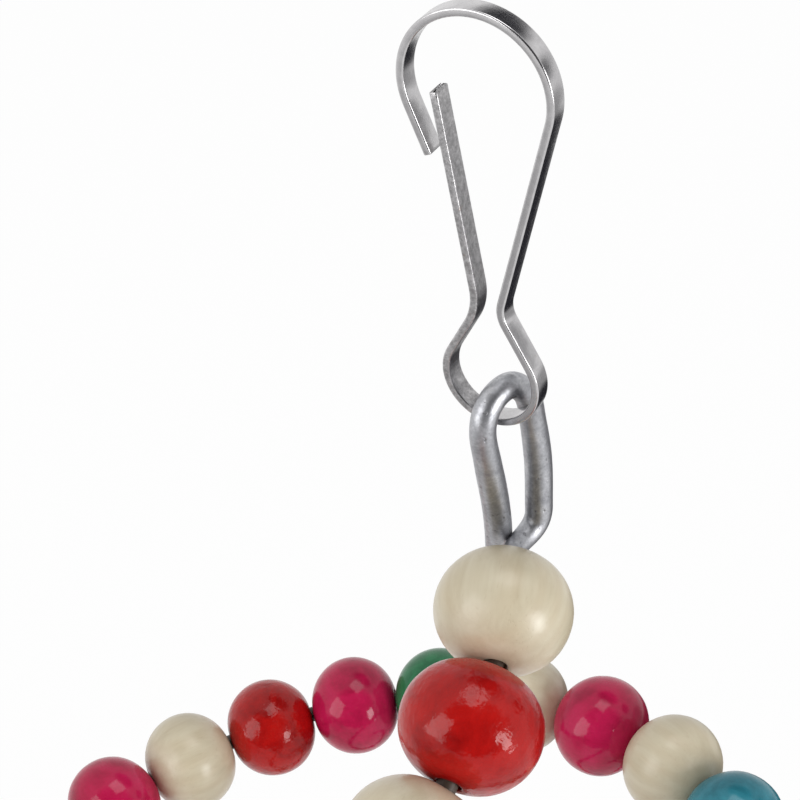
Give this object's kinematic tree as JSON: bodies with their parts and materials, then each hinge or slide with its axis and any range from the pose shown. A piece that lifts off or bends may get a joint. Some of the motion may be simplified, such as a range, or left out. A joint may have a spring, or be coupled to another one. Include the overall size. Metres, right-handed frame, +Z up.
{
  "type": "bird swing",
  "caption": "Hanging bird swing: a leaning spiral of stout wire strung with round coloured wooden beads, its top eye linked to a flat spring snap hook.",
  "frame": {"origin": "the hanging point, at the top of the inside of the hook's bow", "axes": "+Z up, X across the hook's flat outline, Y along the width of its strip"},
  "size_m": [0.1494, 0.1274, 0.2286],
  "materials": {
    "hook_plate": "bright nickel plate",
    "wire": "dull galvanised",
    "bead_natural": "clear lacquer",
    "bead_red": "gloss lacquer",
    "bead_pink": "gloss lacquer",
    "bead_green": "gloss lacquer",
    "bead_blue": "gloss lacquer"
  },
  "bodies": {
    "hook": {"hook_body": "hook_plate"},
    "gate": {"spring_gate": "hook_plate"},
    "coil": {"bead_wire": "wire"},
    "bead_01": {"bead_01": "bead_natural"},
    "bead_02": {"bead_02": "bead_red"},
    "bead_03": {"bead_03": "bead_natural"},
    "bead_04": {"bead_04": "bead_pink"},
    "bead_05": {"bead_05": "bead_green"},
    "bead_06": {"bead_06": "bead_natural"},
    "bead_07": {"bead_07": "bead_blue"},
    "bead_08": {"bead_08": "bead_red"},
    "bead_09": {"bead_09": "bead_natural"},
    "bead_10": {"bead_10": "bead_pink"},
    "bead_11": {"bead_11": "bead_natural"},
    "bead_12": {"bead_12": "bead_green"},
    "bead_13": {"bead_13": "bead_blue"},
    "bead_14": {"bead_14": "bead_natural"},
    "bead_15": {"bead_15": "bead_red"},
    "bead_16": {"bead_16": "bead_pink"},
    "bead_17": {"bead_17": "bead_natural"},
    "bead_18": {"bead_18": "bead_red"},
    "bead_19": {"bead_19": "bead_pink"},
    "bead_20": {"bead_20": "bead_green"},
    "bead_21": {"bead_21": "bead_natural"},
    "bead_22": {"bead_22": "bead_pink"},
    "bead_23": {"bead_23": "bead_natural"},
    "bead_24": {"bead_24": "bead_blue"},
    "bead_25": {"bead_25": "bead_red"},
    "bead_26": {"bead_26": "bead_natural"},
    "bead_27": {"bead_27": "bead_pink"},
    "bead_28": {"bead_28": "bead_green"},
    "bead_29": {"bead_29": "bead_natural"},
    "bead_30": {"bead_30": "bead_red"},
    "bead_31": {"bead_31": "bead_blue"},
    "bead_32": {"bead_32": "bead_natural"},
    "bead_33": {"bead_33": "bead_pink"},
    "bead_34": {"bead_34": "bead_natural"},
    "bead_35": {"bead_35": "bead_green"},
    "bead_36": {"bead_36": "bead_red"},
    "bead_37": {"bead_37": "bead_natural"},
    "bead_38": {"bead_38": "bead_blue"},
    "bead_39": {"bead_39": "bead_pink"},
    "bead_40": {"bead_40": "bead_natural"},
    "bead_41": {"bead_41": "bead_red"},
    "bead_42": {"bead_42": "bead_green"},
    "bead_43": {"bead_43": "bead_natural"},
    "bead_44": {"bead_44": "bead_pink"},
    "bead_45": {"bead_45": "bead_blue"},
    "bead_46": {"bead_46": "bead_natural"},
    "bead_47": {"bead_47": "bead_red"},
    "bead_48": {"bead_48": "bead_pink"},
    "bead_49": {"bead_49": "bead_natural"},
    "bead_50": {"bead_50": "bead_green"},
    "bead_51": {"bead_51": "bead_blue"},
    "bead_52": {"bead_52": "bead_natural"},
    "bead_53": {"bead_53": "bead_red"},
    "bead_54": {"bead_54": "bead_pink"},
    "bead_55": {"bead_55": "bead_natural"},
    "bead_56": {"bead_56": "bead_blue"}
  },
  "joints": [
    {"name": "gate_flex", "type": "hinge", "parent": "hook", "child": "gate", "pos_m": [0.0005, 0, -0.0284], "axis": [0, 1, 0], "range_deg": [0, 15], "stiffness_Nm_per_rad": 0.2},
    {"name": "coil_swing", "type": "hinge", "parent": "hook", "child": "coil", "pos_m": [0.0023, 0, -0.03735], "axis": [0.3584, 0.9336, 0], "range_deg": [-25, 25]},
    {"name": "bead_01_spin", "type": "hinge", "parent": "coil", "child": "bead_01", "pos_m": [0.00616, -0.00622, -0.05762], "axis": [0.3077, -0.8987, -0.3126], "continuous": true},
    {"name": "bead_02_spin", "type": "hinge", "parent": "coil", "child": "bead_02", "pos_m": [0.00858, -0.01704, -0.06196], "axis": [0.0974, -0.906, -0.4119], "continuous": true},
    {"name": "bead_03_spin", "type": "hinge", "parent": "coil", "child": "bead_03", "pos_m": [0.00849, -0.02761, -0.06742], "axis": [-0.1125, -0.8584, -0.5004], "continuous": true},
    {"name": "bead_04_spin", "type": "hinge", "parent": "coil", "child": "bead_04", "pos_m": [0.00596, -0.0373, -0.07384], "axis": [-0.3097, -0.7587, -0.5732], "continuous": true},
    {"name": "bead_05_spin", "type": "hinge", "parent": "coil", "child": "bead_05", "pos_m": [0.00121, -0.04551, -0.08102], "axis": [-0.4829, -0.6125, -0.6258], "continuous": true},
    {"name": "bead_06_spin", "type": "hinge", "parent": "coil", "child": "bead_06", "pos_m": [-0.00541, -0.05175, -0.08869], "axis": [-0.6221, -0.4284, -0.6553], "continuous": true},
    {"name": "bead_07_spin", "type": "hinge", "parent": "coil", "child": "bead_07", "pos_m": [-0.01345, -0.05562, -0.09657], "axis": [-0.7192, -0.2171, -0.6601], "continuous": true},
    {"name": "bead_08_spin", "type": "hinge", "parent": "coil", "child": "bead_08", "pos_m": [-0.02236, -0.05686, -0.10435], "axis": [-0.7686, 0.0094, -0.6397], "continuous": true},
    {"name": "bead_09_spin", "type": "hinge", "parent": "coil", "child": "bead_09", "pos_m": [-0.03157, -0.05538, -0.11175], "axis": [-0.7674, 0.2378, -0.5954], "continuous": true},
    {"name": "bead_10_spin", "type": "hinge", "parent": "coil", "child": "bead_10", "pos_m": [-0.04045, -0.05123, -0.11848], "axis": [-0.7158, 0.455, -0.5298], "continuous": true},
    {"name": "bead_11_spin", "type": "hinge", "parent": "coil", "child": "bead_11", "pos_m": [-0.04844, -0.04462, -0.12433], "axis": [-0.6166, 0.6483, -0.4466], "continuous": true},
    {"name": "bead_12_spin", "type": "hinge", "parent": "coil", "child": "bead_12", "pos_m": [-0.05498, -0.03591, -0.1291], "axis": [-0.4757, 0.8067, -0.3507], "continuous": true},
    {"name": "bead_13_spin", "type": "hinge", "parent": "coil", "child": "bead_13", "pos_m": [-0.05964, -0.02556, -0.13268], "axis": [-0.3012, 0.9209, -0.2476], "continuous": true},
    {"name": "bead_14_spin", "type": "hinge", "parent": "coil", "child": "bead_14", "pos_m": [-0.06207, -0.01415, -0.13502], "axis": [-0.1032, 0.9843, -0.1432], "continuous": true},
    {"name": "bead_15_spin", "type": "hinge", "parent": "coil", "child": "bead_15", "pos_m": [-0.06205, -0.0023, -0.13614], "axis": [0.1069, 0.9933, -0.0437], "continuous": true},
    {"name": "bead_16_spin", "type": "hinge", "parent": "coil", "child": "bead_16", "pos_m": [-0.05951, 0.00932, -0.13612], "axis": [0.3169, 0.9474, 0.0453], "continuous": true},
    {"name": "bead_17_spin", "type": "hinge", "parent": "coil", "child": "bead_17", "pos_m": [-0.05453, 0.02009, -0.13514], "axis": [0.5147, 0.8491, 0.1186], "continuous": true},
    {"name": "bead_18_spin", "type": "hinge", "parent": "coil", "child": "bead_18", "pos_m": [-0.04732, 0.02939, -0.13339], "axis": [0.6888, 0.7043, 0.1719], "continuous": true},
    {"name": "bead_19_spin", "type": "hinge", "parent": "coil", "child": "bead_19", "pos_m": [-0.03823, 0.03673, -0.13115], "axis": [0.8292, 0.5212, 0.2021], "continuous": true},
    {"name": "bead_20_spin", "type": "hinge", "parent": "coil", "child": "bead_20", "pos_m": [-0.0277, 0.04172, -0.12869], "axis": [0.9276, 0.3105, 0.2076], "continuous": true},
    {"name": "bead_21_spin", "type": "hinge", "parent": "coil", "child": "bead_21", "pos_m": [-0.01629, 0.04408, -0.12631], "axis": [0.9785, 0.0843, 0.188], "continuous": true},
    {"name": "bead_22_spin", "type": "hinge", "parent": "coil", "child": "bead_22", "pos_m": [-0.00456, 0.04372, -0.12432], "axis": [0.9789, -0.1443, 0.1444], "continuous": true},
    {"name": "bead_23_spin", "type": "hinge", "parent": "coil", "child": "bead_23", "pos_m": [0.00687, 0.04068, -0.12297], "axis": [0.9288, -0.362, 0.0794], "continuous": true},
    {"name": "bead_24_spin", "type": "hinge", "parent": "coil", "child": "bead_24", "pos_m": [0.01741, 0.03518, -0.12251], "axis": [0.831, -0.5562, -0.0033], "continuous": true},
    {"name": "bead_25_spin", "type": "hinge", "parent": "coil", "child": "bead_25", "pos_m": [0.02653, 0.02756, -0.12312], "axis": [0.6913, -0.7158, -0.0989], "continuous": true},
    {"name": "bead_26_spin", "type": "hinge", "parent": "coil", "child": "bead_26", "pos_m": [0.03377, 0.01829, -0.12492], "axis": [0.5177, -0.8314, -0.2019], "continuous": true},
    {"name": "bead_27_spin", "type": "hinge", "parent": "coil", "child": "bead_27", "pos_m": [0.03878, 0.00794, -0.12796], "axis": [0.3202, -0.8965, -0.3063], "continuous": true},
    {"name": "bead_28_spin", "type": "hinge", "parent": "coil", "child": "bead_28", "pos_m": [0.04136, -0.00287, -0.13222], "axis": [0.1102, -0.9072, -0.4061], "continuous": true},
    {"name": "bead_29_spin", "type": "hinge", "parent": "coil", "child": "bead_29", "pos_m": [0.04142, -0.01347, -0.13762], "axis": [-0.0999, -0.8629, -0.4955], "continuous": true},
    {"name": "bead_30_spin", "type": "hinge", "parent": "coil", "child": "bead_30", "pos_m": [0.03903, -0.02323, -0.14399], "axis": [-0.2983, -0.7661, -0.5693], "continuous": true},
    {"name": "bead_31_spin", "type": "hinge", "parent": "coil", "child": "bead_31", "pos_m": [0.03441, -0.03155, -0.15113], "axis": [-0.4732, -0.6226, -0.6232], "continuous": true},
    {"name": "bead_32_spin", "type": "hinge", "parent": "coil", "child": "bead_32", "pos_m": [0.02789, -0.03792, -0.15878], "axis": [-0.6147, -0.4405, -0.6543], "continuous": true},
    {"name": "bead_33_spin", "type": "hinge", "parent": "coil", "child": "bead_33", "pos_m": [0.01992, -0.04194, -0.16665], "axis": [-0.7146, -0.2305, -0.6605], "continuous": true},
    {"name": "bead_34_spin", "type": "hinge", "parent": "coil", "child": "bead_34", "pos_m": [0.01104, -0.04335, -0.17445], "axis": [-0.767, -0.0046, -0.6416], "continuous": true},
    {"name": "bead_35_spin", "type": "hinge", "parent": "coil", "child": "bead_35", "pos_m": [0.00184, -0.04204, -0.18188], "axis": [-0.7689, 0.2241, -0.5988], "continuous": true},
    {"name": "bead_36_spin", "type": "hinge", "parent": "coil", "child": "bead_36", "pos_m": [-0.00708, -0.03804, -0.18866], "axis": [-0.7203, 0.4423, -0.5343], "continuous": true},
    {"name": "bead_37_spin", "type": "hinge", "parent": "coil", "child": "bead_37", "pos_m": [-0.01514, -0.03158, -0.19457], "axis": [-0.6239, 0.6375, -0.4521], "continuous": true},
    {"name": "bead_38_spin", "type": "hinge", "parent": "coil", "child": "bead_38", "pos_m": [-0.02178, -0.02297, -0.19941], "axis": [-0.4853, 0.7982, -0.3568], "continuous": true},
    {"name": "bead_39_spin", "type": "hinge", "parent": "coil", "child": "bead_39", "pos_m": [-0.02657, -0.01271, -0.20306], "axis": [-0.3126, 0.9153, -0.2539], "continuous": true},
    {"name": "bead_40_spin", "type": "hinge", "parent": "coil", "child": "bead_40", "pos_m": [-0.02914, -0.00135, -0.20548], "axis": [-0.1157, 0.982, -0.1495], "continuous": true},
    {"name": "bead_41_spin", "type": "hinge", "parent": "coil", "child": "bead_41", "pos_m": [-0.02927, 0.01049, -0.20666], "axis": [0.0941, 0.9943, -0.0495], "continuous": true},
    {"name": "bead_42_spin", "type": "hinge", "parent": "coil", "child": "bead_42", "pos_m": [-0.02688, 0.02215, -0.20672], "axis": [0.3044, 0.9517, 0.0403], "continuous": true},
    {"name": "bead_43_spin", "type": "hinge", "parent": "coil", "child": "bead_43", "pos_m": [-0.02204, 0.03298, -0.20578], "axis": [0.5033, 0.8565, 0.1146], "continuous": true},
    {"name": "bead_44_spin", "type": "hinge", "parent": "coil", "child": "bead_44", "pos_m": [-0.01496, 0.04239, -0.20408], "axis": [0.6791, 0.7143, 0.1693], "continuous": true},
    {"name": "bead_45_spin", "type": "hinge", "parent": "coil", "child": "bead_45", "pos_m": [-0.00597, 0.04986, -0.20186], "axis": [0.8218, 0.5332, 0.201], "continuous": true},
    {"name": "bead_46_spin", "type": "hinge", "parent": "coil", "child": "bead_46", "pos_m": [0.00448, 0.055, -0.1994], "axis": [0.923, 0.3238, 0.208], "continuous": true},
    {"name": "bead_47_spin", "type": "hinge", "parent": "coil", "child": "bead_47", "pos_m": [0.01586, 0.05753, -0.19701], "axis": [0.9769, 0.0982, 0.1899], "continuous": true},
    {"name": "bead_48_spin", "type": "hinge", "parent": "coil", "child": "bead_48", "pos_m": [0.02758, 0.05733, -0.19498], "axis": [0.9804, -0.1306, 0.1477], "continuous": true},
    {"name": "bead_49_spin", "type": "hinge", "parent": "coil", "child": "bead_49", "pos_m": [0.03904, 0.05446, -0.19359], "axis": [0.9333, -0.3493, 0.0839], "continuous": true},
    {"name": "bead_50_spin", "type": "hinge", "parent": "coil", "child": "bead_50", "pos_m": [0.04965, 0.0491, -0.19307], "axis": [0.8382, -0.5453, 0.0021], "continuous": true},
    {"name": "bead_51_spin", "type": "hinge", "parent": "coil", "child": "bead_51", "pos_m": [0.05887, 0.04159, -0.19361], "axis": [0.7008, -0.7073, -0.0929], "continuous": true},
    {"name": "bead_52_spin", "type": "hinge", "parent": "coil", "child": "bead_52", "pos_m": [0.06624, 0.03241, -0.19534], "axis": [0.529, -0.8258, -0.1956], "continuous": true},
    {"name": "bead_53_spin", "type": "hinge", "parent": "coil", "child": "bead_53", "pos_m": [0.0714, 0.0221, -0.1983], "axis": [0.3326, -0.894, -0.3001], "continuous": true},
    {"name": "bead_54_spin", "type": "hinge", "parent": "coil", "child": "bead_54", "pos_m": [0.07413, 0.01131, -0.20249], "axis": [0.1231, -0.9081, -0.4003], "continuous": true},
    {"name": "bead_55_spin", "type": "hinge", "parent": "coil", "child": "bead_55", "pos_m": [0.07434, 0.00067, -0.20783], "axis": [-0.0874, -0.8671, -0.4904], "continuous": true},
    {"name": "bead_56_spin", "type": "hinge", "parent": "coil", "child": "bead_56", "pos_m": [0.0721, -0.00916, -0.21415], "axis": [-0.2868, -0.7734, -0.5653], "continuous": true}
  ]
}
